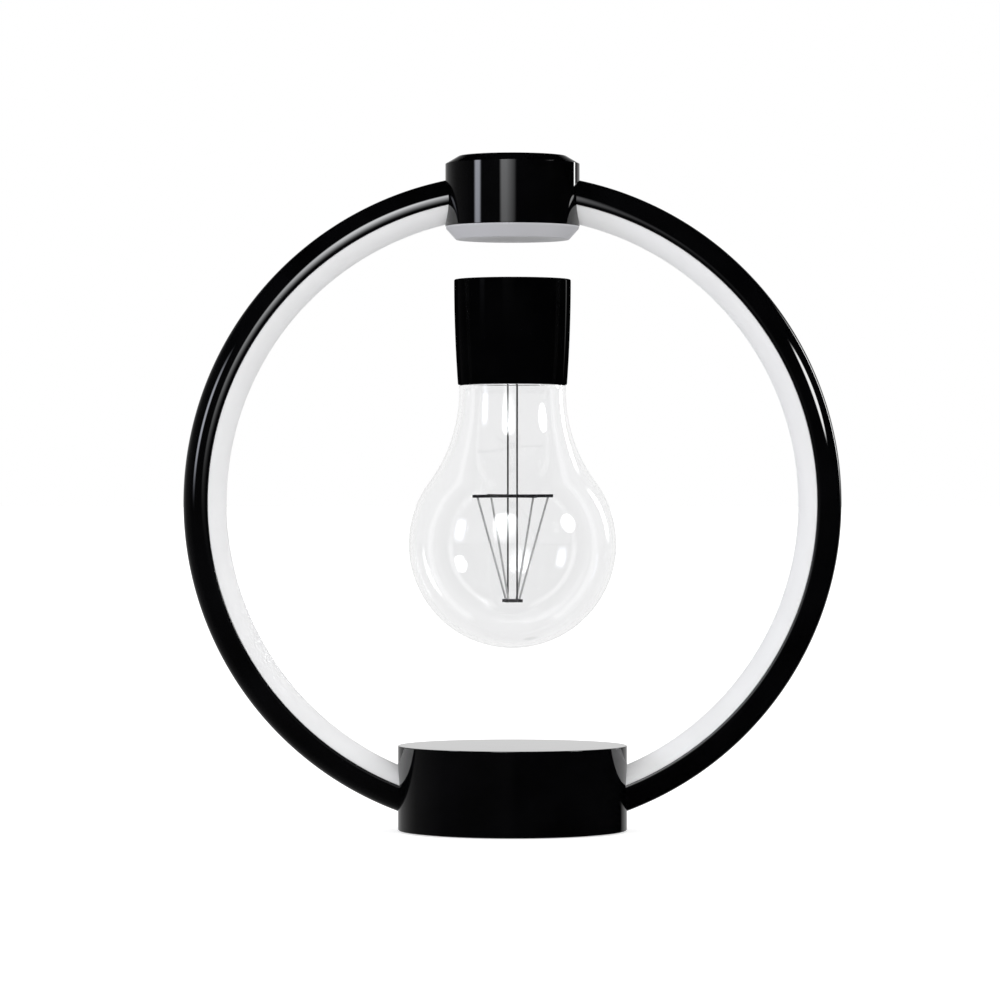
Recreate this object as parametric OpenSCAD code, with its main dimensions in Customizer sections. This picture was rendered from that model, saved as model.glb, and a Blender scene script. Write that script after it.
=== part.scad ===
// Levitating light bulb lamp: a ring on a round base carries a magnet hub, and a bulb floats under the hub.
// Millimetres. The origin is on the table under the middle of the base, +Z is up and the front faces -Y.

/* [Ring] */
// Outside diameter of the ring
ring_od = 190; // [186:1:230]
// Diameter of the ring's round tube
tube_d = 12.5; // [12:0.1:14]
// How far the black channel reaches past the tube's centre line, towards the middle of the ring
channel_reach = 1.1; // [0.6:0.1:1.6]
// Width of the slot in the channel
slot_w = 8.6; // [8.4:0.1:9]
// Depth of the slot's floor beyond the tube's centre line
slot_floor = 2.3; // [2:0.1:2.5]
// Width and depth of the cable groove under the light strip
groove = 2.2; // [1.8:0.1:2.4]
// Length and thickness of the two tongues that clip the diffuser into the channel
tongue_l = 1.8; // [1.2:0.1:2]
tongue_t = 1; // [0.8:0.1:1.4]
// Height of the ring's centre line where it enters the side of the base
arm_entry = 12.4; // [12.2:0.1:14]
// How far each arm of the ring reaches into the base
arm_in_base = 6; // [4:0.5:6]
// How far each arm of the ring reaches into the hub
arm_in_hub = 4; // [3:0.5:5]
// Wall of the collars that hold the arms inside the base and the hub
collar_t = 1.2; // [0.8:0.1:1.4]

/* [Light strip] */
// Width and thickness of the flexible strip
strip_w = 8; // [6:0.5:8]
strip_t = 0.4; // [0.3:0.1:0.6]
// Light chips on each strip
led_count = 14; // [8:1:20]
// Length along the strip, width across it and height of a chip
led_l = 2.8; // [2:0.1:3.5]
led_w = 3.5; // [2.5:0.1:4]
led_h = 0.7; // [0.5:0.1:0.8]
// Bare angle of the channel at each end of the strip
strip_end = 7; // [6:1:12]

/* [Base] */
// Diameter of the base
base_d = 66.2; // [64:0.2:72]
// Height of the base above the table
base_h = 24.7; // [24:0.1:30]
// Side wall of the base
base_wall = 2; // [1.6:0.1:2.4]
// Top wall of the base
base_top = 2; // [1.6:0.1:3]
// Chamfer on the edges of the base
base_edge = 0.4; // [0.2:0.1:0.8]
// Height of the housing's lower edge above the table
foot_h = 0.3; // [0.2:0.1:1]
// How far the bottom cover is set up into the housing
cover_set = 0.2; // [0.1:0.1:0.4]
// Thickness of the bottom cover
bottom_t = 3; // [2.8:0.1:3.2]
// How far the foot pad is set in from the side of the base, and its width
pad_inset = 2.9; // [2.8:0.1:3.3]
pad_w = 5.2; // [4.7:0.1:6.8]
// Depth of the foot pad's groove in the bottom cover
pad_seat = 0.6; // [0.4:0.1:0.8]
// Gap between the steel weight and the screw posts round it, and below the power inlet above it
weight_side_gap = 2.4; // [1.4:0.2:6]
weight_top_gap = 0.4; // [0.4:0.1:2]
// Diameter and height of the stub that centres the weight
stub_d = 6; // [5:0.5:8]
stub_h = 3; // [2:0.5:3]

/* [Base screws] */
// Distance of the four cover screws from the side of the base
screw_inset = 5.1; // [5:0.05:5.3]
// Angle of the cover screws from the plane of the ring
screw_turn = 38; // [36:1:40]
// Shank and head of a cover screw
screw_d = 2.2; // [2:0.1:2.5]
screw_head_d = 3.8; // [3.4:0.1:4]
screw_head_h = 1.3; // [1:0.1:1.4]
// Length, width and depth of the cross recess in a cover screw
recess_l = 2.2; // [1.8:0.1:2.4]
recess_w = 0.5; // [0.4:0.1:0.7]
recess_h = 0.6; // [0.4:0.1:0.8]
// Reach of a cover screw into its post
screw_in = 8; // [6:0.5:12]
// Diameter of the posts that take the cover screws
post_d = 7.2; // [7.2:0.1:7.6]

/* [Control board] */
// Gap between the control board and the screw posts beside it
board_side_gap = 3.4; // [2.4:0.2:4.4]
// Distance of the board's front and rear edges from the inside of the base's wall
board_front_gap = 11.1; // [10:0.1:12]
board_rear_gap = 8.1; // [7.5:0.1:9]
// Thickness of the control board
board_t = 1.6; // [1.2:0.1:1.8]
// Height of the posts that hold the board under the top of the base
board_drop = 1.4; // [1:0.1:1.6]
// Diameter of the posts that hold the board
board_post_d = 4.4; // [4:0.1:5]
// Distance of the board screws from the board's sides, front edge and rear edge
board_screw_side = 3; // [2.6:0.1:4]
board_screw_front = 4; // [3:0.5:5]
board_screw_rear = 12; // [11:0.5:13]
// Shank and head of a board screw, and its reach into its post
board_screw_d = 1.6; // [1.4:0.1:2]
board_screw_head = 3.4; // [3:0.1:3.6]
board_screw_head_h = 1.2; // [0.8:0.1:1.4]
board_screw_in = 1.8; // [1.2:0.1:1.8]
// Diameter and height of the choke, of the tall capacitor and of the short capacitor on the board
choke_d = 8.4; // [7:0.1:9]
choke_h = 5; // [4:0.1:6]
tall_cap_d = 6.4; // [5:0.1:6.5]
tall_cap_h = 9; // [6:0.1:10]
short_cap_d = 5; // [4:0.1:5.5]
short_cap_h = 7; // [5:0.1:8]
// Width, length and height of the driver chip and of the control chip
driver_w = 9; // [7:0.1:9.5]
driver_l = 7; // [5:0.1:7.5]
driver_h = 1.5; // [1:0.1:2]
chip_w = 6; // [5:0.1:7]
chip_l = 5; // [4:0.1:5.5]
chip_h = 1.2; // [0.8:0.1:1.6]

/* [Power inlet] */
// Width, length and height of the inlet's body
inlet_w = 9; // [8:0.1:9]
inlet_l = 13; // [11:0.5:13]
inlet_h = 10.8; // [10:0.1:10.8]
// Drop of the inlet's axis below the control board
inlet_drop = 6.5; // [6:0.1:6.5]
// How far the inlet's face is set in from the inside of the base's wall
inlet_set = 1.6; // [1:0.1:2]
// How far the nose stays inside the side of the base
nose_set = 0.2; // [0.1:0.1:0.4]
// Diameter of the inlet's round nose
nose_d = 9.2; // [8.6:0.1:9.4]
// Diameter and depth of the plug's bore
plug_d = 6.4; // [6:0.1:6.6]
plug_in = 9.5; // [8:0.5:10]
// Diameter of the centre pin, its root behind the bore and how far it stays inside the nose
pin_d = 2; // [1.6:0.1:2.5]
pin_root = 1.8; // [1.2:0.1:2]
pin_set = 1; // [0.6:0.1:2]

/* [Button] */
// Gap between the switch's board and the power inlet beside it
switch_gap = 0.3; // [0.2:0.1:0.6]
// Diameter of the button, and the chamfer round its face
button_d = 8; // [7:0.1:8.4]
button_edge = 0.4; // [0.2:0.1:0.8]
// Height of the button above the side of the base
button_proud = 1.6; // [1.4:0.1:2]
// Travel of the button
button_travel = 1; // [0.6:0.1:1]
// Width and thickness of the flange that keeps the button in
flange_w = 0.9; // [0.7:0.1:1]
flange_t = 1; // [0.8:0.1:1.2]
// Gap between the flange and the inside of the base's wall
flange_gap = 0.3; // [0.2:0.1:0.5]
// Diameter and length of the stem between the flange and the switch's plunger
stem_d = 4; // [3.5:0.1:5]
stem_l = 3.4; // [2.4:0.1:3.6]
// Side and thickness of the switch
switch_side = 6; // [5:0.5:6.5]
switch_t = 4; // [3.6:0.1:4.2]
// Diameter of the plunger and its height above the switch
plunger_d = 3; // [2.6:0.1:3.4]
plunger_h = 1.8; // [1.6:0.1:2.2]
// Thickness of the switch's board, and its margin round the switch
switch_board_t = 1.2; // [1:0.1:1.6]
switch_margin = 0.4; // [0.2:0.1:0.6]

/* [Hub] */
// Diameter of the hub
hub_d = 38.8; // [38:0.1:41]
// Height of the black hub housing
hub_h = 20.2; // [20:0.1:24]
// Side wall of the hub
hub_wall = 1.8; // [1.5:0.1:2]
// Top wall of the hub
hub_top = 2; // [1.6:0.1:2.4]
// Width and height of the chamfer round the top of the hub
hub_chamfer_w = 3.7; // [2:0.1:4]
hub_chamfer_h = 2.2; // [1.4:0.1:2.4]
// Width and height of the chamfer inside the top of the hub
hub_inner_w = 2.5; // [2:0.1:3]
hub_inner_h = 1.5; // [1:0.1:2]
// Height of the ring's centre line above the housing's lower edge, at the side of the hub
arm_rise = 6.9; // [6.9:0.1:8]
// Height of the white cover
cover_h = 3.8; // [3.6:0.1:5]
// Chamfer round the bottom of the white cover
cover_chamfer = 3.05; // [2:0.05:3.2]
// Floor of the white cover, and its wall at the chamfer
cover_floor = 1.8; // [1.4:0.1:2]
cover_wall = 0.6; // [0.4:0.1:1]
// Thickness and height of the lip that clips into the housing
lip_t = 1.2; // [0.8:0.1:1.4]
lip_h = 1.2; // [0.8:0.1:1.6]

/* [Electromagnet] */
// Diameter of the core
core_d = 8; // [6:0.5:9]
// Diameter and thickness of the pole at the bottom of the core
pole_d = 12; // [10.5:0.5:14]
pole_t = 1; // [0.8:0.1:1.5]
// Diameter and height of the bobbin
bobbin_d = 24; // [20:0.5:24]
bobbin_h = 13; // [11:0.5:13]
// Wall of the bobbin
bobbin_wall = 1; // [0.8:0.1:1.2]
// Depth of the coil inside the bobbin's rims
coil_inset = 0.5; // [0.2:0.1:1]
// Diameter and thickness of the yoke plate
yoke_d = 26; // [24:0.5:26]
yoke_t = 2; // [1.5:0.1:2.5]
// Diameter of the stud that screws into the hub, and the wall of its boss
stud_d = 3; // [2.5:0.1:4]
boss_wall = 3; // [2:0.1:4]
// Diameter and thickness of the sensor board
sensor_board_d = 25; // [22:0.5:25]
sensor_board_t = 1.2; // [1:0.1:1.2]
// Width and length of the sensor under its board
sensor_w = 4; // [3:0.1:5]
sensor_l = 3; // [2:0.1:4]
// Outside and inside diameters and thickness of the power coil
tx_od = 24; // [20:0.5:25]
tx_id = 12; // [10:0.5:14]
tx_t = 1; // [0.8:0.1:1]

/* [Bulb cap] */
// Gap between the hub and the floating cap
float_gap = 11.5; // [8:0.5:14]
// Diameter of the cap at the top
cap_d = 33.7; // [33:0.1:36]
// How much narrower the cap is at the bottom
cap_taper = 2.2; // [1:0.1:2.6]
// Height of the cap
cap_h = 30.4; // [30:0.1:36]
// Chamfer round the top of the cap
cap_edge = 0.4; // [0.2:0.1:0.8]
// Top wall of the cap
cap_top = 1.8; // [1.4:0.1:2.2]
// Wall of the cap at its lower edge
cap_wall = 1.75; // [1.65:0.05:2]
// Thickness of the levitation magnet
magnet_t = 6; // [4:0.5:7]
// Rim and floor of the cup that holds the magnet
cup_rim = 0.6; // [0.5:0.1:1]
cup_floor = 1.4; // [1:0.1:2]
// Width and thickness of the receiving coil round the magnet
rx_w = 3.15; // [2.5:0.05:4]
rx_t = 1.6; // [1:0.1:2]
// Diameter and length of the legs under the cup, and their distance from its side
leg_d = 2.4; // [2:0.1:3]
leg_l = 2.4; // [1.5:0.1:3]
leg_inset = 4.4; // [4:0.1:5]
// Thickness of the rectifier board, and its gap inside the cap
rectifier_t = 1.2; // [1:0.1:1.6]
rectifier_gap = 0.3; // [0.2:0.1:0.6]
// Diameter and height of the rectifier's capacitor
store_d = 5.6; // [4:0.1:6]
store_h = 5; // [4:0.1:6]
// Width, length and height of the rectifier's two diodes
diode_w = 5; // [4:0.1:6]
diode_l = 4; // [3:0.1:5]
diode_h = 1.4; // [1:0.1:2]

/* [Glass] */
// Diameter of the glass ball
bulb_d = 60; // [54:0.5:64]
// Length of the glass below the cap
bulb_len = 76; // [74:0.5:80]
// How far the neck of the glass is set in from the lower edge of the cap
neck_step = 0.35; // [0.2:0.05:0.6]
// Straight length of the neck
neck_len = 1.7; // [1.6:0.1:5]
// Wall of the glass
glass_t = 1.2; // [0.9:0.1:1.4]
// Height of the collar of the glass inside the cap
collar_h = 6; // [4:0.5:7]

/* [Filament] */
// Distance between the two lead wires
wire_gap = 2.66; // [2.4:0.02:3]
// Diameter of a lead wire
wire_d = 0.5; // [0.4:0.05:0.6]
// Angle of the cross about the lamp's axis
cage_turn = -31; // [-45:1:45]
// Height of the upper cross above the middle of the glass ball
cross_up = 13.9; // [10:0.1:15]
// Depth of the lower cross below the middle of the glass ball
cross_down = 16.3; // [14:0.1:20]
// Rim of the disc in the middle of each cross, outside the lead wires
disc_rim = 0.6; // [0.4:0.1:1]
// Thickness and width of the bars of both crosses
bar_t = 0.9; // [0.6:0.05:1]
bar_w = 0.9; // [0.7:0.05:1.2]
// Reach of the bars of the upper cross and of the lower cross
bar_up = 13.3; // [12.5:0.1:15]
bar_down = 3.2; // [3:0.1:5]
// Distance of the filaments from the axis at the top and at the bottom
filament_up = 11.8; // [10:0.1:12]
filament_down = 2.3; // [2.1:0.1:2.6]
// Diameter of a filament
filament_d = 0.6; // [0.5:0.05:0.8]

/* [Hidden] */
$fn = 128;

// Gap round a piece that is glued or clipped, round one that slides and round one that turns
fit_gap = 0.1;
slide_gap = 0.15;
run_gap = 0.05;
// Extra length of a cutter past the face that it opens
over = 1;

black = [0.03, 0.03, 0.035];
white = [0.93, 0.93, 0.93];
steel = [0.7, 0.72, 0.74];
dark_steel = [0.2, 0.2, 0.21];
copper = [0.78, 0.45, 0.25];
board_green = [0.1, 0.36, 0.2];
part_grey = [0.22, 0.22, 0.24];
pale = [0.78, 0.77, 0.73];
clear = [0.85, 0.92, 0.95, 0.35];

tube_r = tube_d / 2;
ring_r = ring_od / 2 - tube_r;
base_r = base_d / 2;
hub_r = hub_d / 2;
socket_r = tube_r + fit_gap;
ring_z = arm_entry + sqrt(ring_r ^ 2 - base_r ^ 2);
hub_z = ring_z + sqrt(ring_r ^ 2 - hub_r ^ 2) - arm_rise;
low_angle = acos((base_r - arm_in_base) / ring_r);
high_angle = acos((hub_r - arm_in_hub) / ring_r);

base_in_r = base_r - base_wall;
base_ceiling = base_h - base_top;
bottom_z = foot_h + cover_set;
bottom_top = bottom_z + bottom_t;
pad_od = base_d - 2 * pad_inset;
pad_id = pad_od - 2 * pad_w;
pad_top = bottom_z + pad_seat;
screw_r = base_r - screw_inset;
board_w = 2 * (screw_r * cos(screw_turn) - post_d / 2 - board_side_gap);
board_front = board_front_gap - base_in_r;
board_rear = base_in_r - board_rear_gap;
board_l = board_rear - board_front;
board_z = base_ceiling - board_drop - board_t;
board_screw_x = board_w / 2 - board_screw_side;
inlet_z = board_z - inlet_drop;
inlet_face = base_in_r - inlet_set;
weight_d = 2 * (screw_r - post_d / 2 - weight_side_gap);
weight_t = board_z - inlet_h - weight_top_gap - bottom_top;
nose_end = sqrt(base_r ^ 2 - (nose_d / 2) ^ 2) - nose_set;
pin_in = nose_end - plug_in - pin_root;
flange_r = button_d / 2 + flange_w;
flange_out = sqrt(base_in_r ^ 2 - flange_r ^ 2) - flange_gap;
flange_in = flange_out - flange_t;
button_out = base_r + button_proud;
plunger_out = flange_in - stem_l;
switch_out = plunger_out - plunger_h;
switch_back = switch_out - switch_t;
plunger_in = switch_back + switch_board_t / 2;
switch_board_w = switch_side + 2 * switch_margin;
switch_board_h = inlet_drop + switch_side / 2 + switch_margin;
switch_board_in = switch_back - switch_board_t;
// The button turns away from the inlet until the corner of the switch's board clears it
button_turn = atan(switch_board_w / 2 / switch_board_in)
  + asin((inlet_w / 2 + switch_gap) / norm([switch_board_w / 2, switch_board_in]));

hub_top_z = hub_z + hub_h;
hub_ceiling = hub_top_z - hub_top;
hub_in_r = hub_r - hub_wall;
lip_r = hub_in_r - fit_gap;
cover_z = hub_z - cover_h;
hub_floor = cover_z + cover_floor;
sensor_z = hub_floor + tx_t;
pole_z = sensor_z + sensor_board_t + fit_gap;
bobbin_z = pole_z + pole_t;
yoke_z = bobbin_z + bobbin_h + fit_gap;
yoke_top = yoke_z + yoke_t;
bobbin_in_r = core_d / 2 + fit_gap;
bobbin_out_r = bobbin_in_r + bobbin_wall;

cap_z1 = cover_z - float_gap;
cap_z0 = cap_z1 - cap_h;
cap_r = cap_d / 2;
cap_draw = cap_taper / 2;
cap_low_r = cap_r - cap_draw;
cap_bore = 2 * (cap_low_r - cap_wall);
barrel_r = (cap_h ^ 2 + cap_draw ^ 2) / (2 * cap_draw);
cap_ceiling = cap_z1 - cap_top;
cup_r = cap_bore / 2 - fit_gap;
rx_in_r = cup_r - rx_w - fit_gap;
pocket_r = rx_in_r - cup_rim;
magnet_d = 2 * (pocket_r - run_gap);
magnet_z = cap_ceiling - fit_gap - magnet_t;
cup_z = magnet_z - run_gap - cup_floor;
cup_top = cap_ceiling - fit_gap;
rectifier_z = cup_z - leg_l - rectifier_t;
leg_circle = cup_r - leg_inset;

ball_r = bulb_d / 2;
ball_z = cap_z0 - bulb_len + ball_r;
neck_z = cap_z0 - neck_len;
neck_r = cap_low_r - neck_step;
neck_rise = neck_z - ball_z;
flare_r = (neck_r ^ 2 + neck_rise ^ 2 - ball_r ^ 2) / (2 * (ball_r - neck_r));
flare_x = neck_r + flare_r;
flare_dir = [flare_x, neck_rise] / norm([flare_x, neck_rise]);
shoulder_z = cap_z0 - fit_gap;
collar_r = cap_bore / 2 - fit_gap;
collar_in_r = collar_r - glass_t;

cross_z = ball_z + cross_up;
low_cross_z = ball_z - cross_down;
wire_r = wire_d / 2;
wire_hole_r = wire_r + run_gap;
disc_r = wire_gap / 2 + wire_r + disc_rim;

// Draws a profile at the tube's centre and sweeps it along the ring from one angle to another
module ring_arc(from, to) {
  translate([0, 0, ring_z]) rotate([90, 0, 0]) rotate([0, 0, from])
    rotate_extrude(angle = to - from) translate([ring_r, 0]) children();
}

// The whole ring's tube, as a cutter of the given radius
module ring_cutter(r) {
  translate([0, 0, ring_z]) rotate([90, 0, 0]) rotate_extrude() translate([ring_r, 0]) circle(r);
}

// Places a piece on the rear of the base, with its own +Y pointing out through the wall at the given height
module at_rear(turn, z) {
  translate([0, 0, z]) rotate([0, 0, -turn]) children();
}

// A round bar along +Y from one distance to another
module bar_y(r, from, to) {
  translate([0, from, 0]) rotate([-90, 0, 0]) cylinder(r = r, h = to - from);
}

// The four places of the base's cover screws
module at_base_screws() {
  for (a = [screw_turn, 180 - screw_turn, 180 + screw_turn, -screw_turn])
    rotate([0, 0, a]) translate([screw_r, 0, 0]) children();
}

// The four places of the board's screws
module at_board_screws() {
  for (x = [-board_screw_x, board_screw_x]) {
    for (y = [board_front + board_screw_front, board_rear - board_screw_rear])
      translate([x, y, 0]) children();
  }
}

// A place under the control board, given as shares of its half width and of its length
module under_board(across, along, h) {
  translate([across * board_w / 2, board_front + along * board_l, board_z - h]) children();
}

// The two places of the lead wires
module at_wires() {
  for (x = [-wire_gap / 2, wire_gap / 2]) translate([x, 0, 0]) children();
}

module base_housing() {
  color(black) difference() {
    union() {
      rotate_extrude() polygon([
        [0, base_ceiling], [0, base_h], [base_r - base_edge, base_h], [base_r, base_h - base_edge],
        [base_r, foot_h + base_edge], [base_r - base_edge, foot_h], [base_in_r, foot_h],
        [base_in_r, base_ceiling]]);
      intersection() {
        translate([0, 0, bottom_top + fit_gap])
          cylinder(r = base_in_r + base_wall / 2, h = base_ceiling - bottom_top);
        union() {
          at_base_screws() cylinder(d = post_d, h = base_h);
          ring_arc(-low_angle, 30 - low_angle) circle(socket_r + collar_t);
          ring_arc(150 + low_angle, 180 + low_angle) circle(socket_r + collar_t);
        }
      }
      at_board_screws() translate([0, 0, board_z + board_t]) cylinder(d = board_post_d, h = board_drop + over);
    }
    ring_cutter(socket_r);
    at_base_screws() translate([0, 0, bottom_top]) cylinder(d = screw_d + 2 * run_gap, h = screw_in + over);
    at_board_screws() translate([0, 0, board_z])
      cylinder(d = board_screw_d + 2 * run_gap, h = board_t + board_screw_in + 2 * fit_gap);
    at_rear(0, inlet_z) bar_y(nose_d / 2 + slide_gap, base_in_r - 2 * base_wall, base_r + over);
    at_rear(button_turn, inlet_z) bar_y(button_d / 2 + slide_gap, base_in_r - 2 * base_wall, base_r + over);
  }
}

module base_bottom_cover() {
  color(part_grey) difference() {
    union() {
      translate([0, 0, bottom_z]) cylinder(r = base_in_r - slide_gap, h = bottom_t);
      translate([0, 0, bottom_top - over]) cylinder(d = stub_d, h = stub_h + over);
    }
    translate([0, 0, bottom_z - over]) difference() {
      cylinder(d = pad_od + 2 * fit_gap, h = pad_seat + over);
      translate([0, 0, -over]) cylinder(d = pad_id - 2 * fit_gap, h = pad_seat + 3 * over);
    }
    at_base_screws() translate([0, 0, pad_top - over])
      cylinder(d = screw_head_d + 2 * fit_gap, h = screw_head_h + fit_gap + over);
    at_base_screws() translate([0, 0, bottom_z]) cylinder(d = screw_d + 2 * run_gap, h = bottom_t + over);
  }
}

module foot_pad() {
  color(dark_steel) difference() {
    cylinder(d = pad_od, h = pad_top);
    translate([0, 0, -over]) cylinder(d = pad_id, h = pad_top + 2 * over);
  }
}

module base_weight() {
  color(steel) translate([0, 0, bottom_top]) difference() {
    cylinder(d = weight_d, h = weight_t);
    translate([0, 0, -over]) cylinder(d = stub_d + 2 * fit_gap, h = weight_t + 2 * over);
  }
}

module base_screws() {
  head_z = pad_top + fit_gap;
  color(steel) at_base_screws() union() {
    translate([0, 0, head_z]) difference() {
      cylinder(d = screw_head_d, h = screw_head_h);
      for (a = [0, 90]) rotate([0, 0, a]) cube([recess_l, recess_w, 2 * recess_h], center = true);
    }
    translate([0, 0, head_z + screw_head_h / 2])
      cylinder(d = screw_d, h = bottom_top + screw_in - head_z - screw_head_h / 2);
  }
}

module control_board() {
  color(board_green) difference() {
    translate([-board_w / 2, board_front, board_z]) cube([board_w, board_l, board_t]);
    at_board_screws() translate([0, 0, board_z - over])
      cylinder(d = board_screw_d + 2 * fit_gap, h = board_t + 2 * over);
  }
}

module board_parts() {
  color(part_grey) {
    under_board(-0.47, 0.26, choke_h) cylinder(d = choke_d, h = choke_h);
    under_board(0.33, 0.16, tall_cap_h) cylinder(d = tall_cap_d, h = tall_cap_h);
    under_board(-0.6, 0.53, short_cap_h) cylinder(d = short_cap_d, h = short_cap_h);
    under_board(0.37, 0.43, driver_h) translate([-driver_w / 2, -driver_l / 2, 0])
      cube([driver_w, driver_l, driver_h]);
    under_board(-0.07, 0.66, chip_h) translate([-chip_w / 2, -chip_l / 2, 0]) cube([chip_w, chip_l, chip_h]);
  }
}

module board_screws() {
  color(steel) at_board_screws() union() {
    translate([0, 0, board_z - board_screw_head_h]) cylinder(d = board_screw_head, h = board_screw_head_h);
    translate([0, 0, board_z - board_screw_head_h / 2])
      cylinder(d = board_screw_d, h = board_screw_head_h / 2 + board_t + board_screw_in);
  }
}

module power_inlet() {
  color(part_grey) difference() {
    union() {
      translate([-inlet_w / 2, inlet_face - inlet_l, board_z - inlet_h]) cube([inlet_w, inlet_l, inlet_h]);
      at_rear(0, inlet_z) bar_y(nose_d / 2, inlet_face - over, nose_end);
    }
    at_rear(0, inlet_z) bar_y(plug_d / 2, nose_end - plug_in, nose_end + over);
    at_rear(0, inlet_z) bar_y(pin_d / 2 + run_gap, pin_in - fit_gap, nose_end);
  }
}

module inlet_pin() {
  color(steel) at_rear(0, inlet_z) bar_y(pin_d / 2, pin_in, nose_end - pin_set);
}

module switch_board() {
  color(board_green) at_rear(button_turn, 0)
    translate([-switch_board_w / 2, switch_board_in, board_z - switch_board_h])
      cube([switch_board_w, switch_board_t, switch_board_h]);
}

module button_switch() {
  color(part_grey) at_rear(button_turn, inlet_z) difference() {
    translate([-switch_side / 2, switch_back, -switch_side / 2]) cube([switch_side, switch_t, switch_side]);
    bar_y(plunger_d / 2 + run_gap, plunger_in, switch_out + over);
  }
}

module switch_plunger() {
  color(steel) at_rear(button_turn, inlet_z)
    bar_y(plunger_d / 2, plunger_in + button_travel + 2 * fit_gap, plunger_out);
}

module power_button() {
  color(black) at_rear(button_turn, inlet_z) union() {
    bar_y(stem_d / 2, plunger_out, flange_in + flange_t / 2);
    bar_y(flange_r, flange_in, flange_out);
    bar_y(button_d / 2, flange_out - flange_t / 2, button_out - button_edge);
    translate([0, button_out - button_edge, 0]) rotate([-90, 0, 0])
      cylinder(r1 = button_d / 2, r2 = button_d / 2 - button_edge, h = button_edge);
  }
}

// The black outer part of the tube, with a slot for the strip and a groove for the cable
module channel_profile() {
  difference() {
    circle(tube_r);
    translate([-channel_reach - 2 * tube_r, -tube_d]) square([2 * tube_r, 2 * tube_d]);
    translate([-channel_reach - over, -slot_w / 2]) square([slot_floor + channel_reach + over, slot_w]);
    translate([slot_floor - over, -groove / 2]) square([groove + over, groove]);
  }
}

// The white inner part of the tube, with two tongues that clip into the channel's slot
module diffuser_profile() {
  back = -channel_reach - fit_gap;
  edge = slot_w / 2 - fit_gap;
  difference() {
    circle(tube_r);
    translate([back, -tube_d]) square([2 * tube_d, 2 * tube_d]);
  }
  translate([back - tongue_t / 2, edge - tongue_t]) square([tongue_l + tongue_t / 2, tongue_t]);
  translate([back - tongue_t / 2, -edge]) square([tongue_l + tongue_t / 2, tongue_t]);
}

module left_channel() {
  color(black) ring_arc(180 - high_angle, 180 + low_angle) channel_profile();
}

module right_channel() {
  color(black) ring_arc(-low_angle, high_angle) channel_profile();
}

module left_diffuser() {
  color(white) ring_arc(180 - high_angle, 180 + low_angle) diffuser_profile();
}

module right_diffuser() {
  color(white) ring_arc(-low_angle, high_angle) diffuser_profile();
}

// A strip on the slot's floor with its light chips facing the middle of the ring
module light_strip(from, to) {
  strip_u = slot_floor - run_gap - strip_t;
  pitch = (to - from) / led_count;
  ring_arc(from, to) translate([strip_u, -strip_w / 2]) square([strip_t, strip_w]);
  for (i = [0.5:1:led_count]) {
    translate([0, 0, ring_z]) rotate([90, 0, 0]) rotate([0, 0, from + i * pitch])
      translate([ring_r + strip_u - led_h, -led_l / 2, -led_w / 2]) cube([led_h + strip_t / 2, led_l, led_w]);
  }
}

module left_light_strip() {
  color(pale) light_strip(180 - high_angle + strip_end, 180 + low_angle - strip_end);
}

module right_light_strip() {
  color(pale) light_strip(strip_end - low_angle, high_angle - strip_end);
}

module feed_cables() {
  cable_end = 1.4;
  color(part_grey) {
    ring_arc(-low_angle - cable_end, high_angle + cable_end)
      translate([slot_floor + groove / 2, 0]) circle(groove / 2 - fit_gap);
    ring_arc(180 - high_angle - cable_end, 180 + low_angle + cable_end)
      translate([slot_floor + groove / 2, 0]) circle(groove / 2 - fit_gap);
  }
}

module hub_housing() {
  color(black) difference() {
    union() {
      rotate_extrude() polygon([
        [0, hub_ceiling], [0, hub_top_z], [hub_r - hub_chamfer_w, hub_top_z],
        [hub_r, hub_top_z - hub_chamfer_h], [hub_r, hub_z], [hub_in_r, hub_z],
        [hub_in_r, hub_ceiling - hub_inner_h], [hub_in_r - hub_inner_w, hub_ceiling]]);
      translate([0, 0, yoke_top]) cylinder(d = stud_d + 2 * boss_wall, h = hub_ceiling - yoke_top + over);
      intersection() {
        translate([0, 0, hub_z + lip_h / 4]) cylinder(r = hub_in_r + hub_wall / 2, h = hub_h - hub_top);
        union() {
          ring_arc(high_angle - 20, high_angle) circle(socket_r + collar_t);
          ring_arc(180 - high_angle, 200 - high_angle) circle(socket_r + collar_t);
        }
      }
    }
    ring_cutter(socket_r);
    translate([0, 0, yoke_top - over]) cylinder(d = stud_d + 2 * run_gap, h = hub_ceiling - yoke_top + over);
  }
}

module hub_cover() {
  color(white) union() {
    rotate_extrude() polygon([
      [0, cover_z], [hub_r - cover_chamfer, cover_z], [hub_r, cover_z + cover_chamfer], [hub_r, hub_z],
      [lip_r - lip_t, hub_z], [hub_r - cover_chamfer - cover_wall, hub_floor], [0, hub_floor]]);
    difference() {
      translate([0, 0, hub_z - lip_t / 4]) cylinder(r = lip_r, h = lip_h + lip_t / 4);
      translate([0, 0, hub_z - over]) cylinder(r = lip_r - lip_t, h = lip_h + 2 * over);
      ring_cutter(socket_r + collar_t + fit_gap);
    }
  }
}

module magnet_core() {
  color(steel) union() {
    translate([0, 0, pole_z]) cylinder(d = pole_d, h = pole_t);
    translate([0, 0, pole_z]) cylinder(d = core_d, h = yoke_z - fit_gap - pole_z);
    translate([0, 0, pole_z]) cylinder(d = stud_d, h = hub_ceiling - pole_z - 2 * fit_gap);
  }
}

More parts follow.
